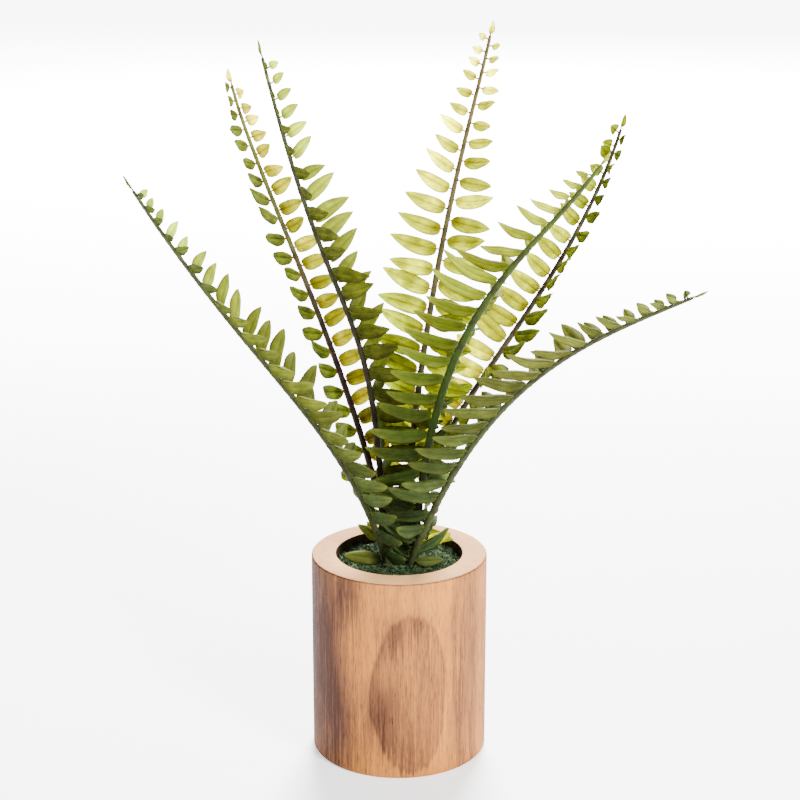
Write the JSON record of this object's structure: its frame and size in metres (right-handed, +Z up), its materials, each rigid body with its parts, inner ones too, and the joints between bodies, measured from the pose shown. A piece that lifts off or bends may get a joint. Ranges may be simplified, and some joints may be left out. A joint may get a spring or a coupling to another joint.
{
  "type": "potted fern",
  "caption": "Artificial fern with arching pinnate fronds, set in moss in a plain turned cylinder of wood.",
  "frame": {"origin": "centre of the pot's flat base, where it rests", "axes": "+Z up along the pot's axis, -Y towards the viewer of the picture, +X to the viewer's right"},
  "size_m": [0.2621, 0.2287, 0.366],
  "materials": {
    "pot_wood": "sanded, unvarnished",
    "plug_foam": "matt cell foam",
    "moss": "dyed fibre",
    "leaf_deep": "satin moulded leaf",
    "leaf_lit": "satin moulded leaf"
  },
  "bodies": {
    "root": {"pot": "pot_wood", "foam_plug": "plug_foam", "moss_bed": "moss", "frond_left_low": "leaf_deep", "frond_right_low": "leaf_deep", "frond_left_tall": "leaf_deep", "frond_right_front": "leaf_deep", "frond_left_back": "leaf_lit", "frond_right_back": "leaf_lit", "frond_back_tall": "leaf_lit"}
  },
  "joints": []
}
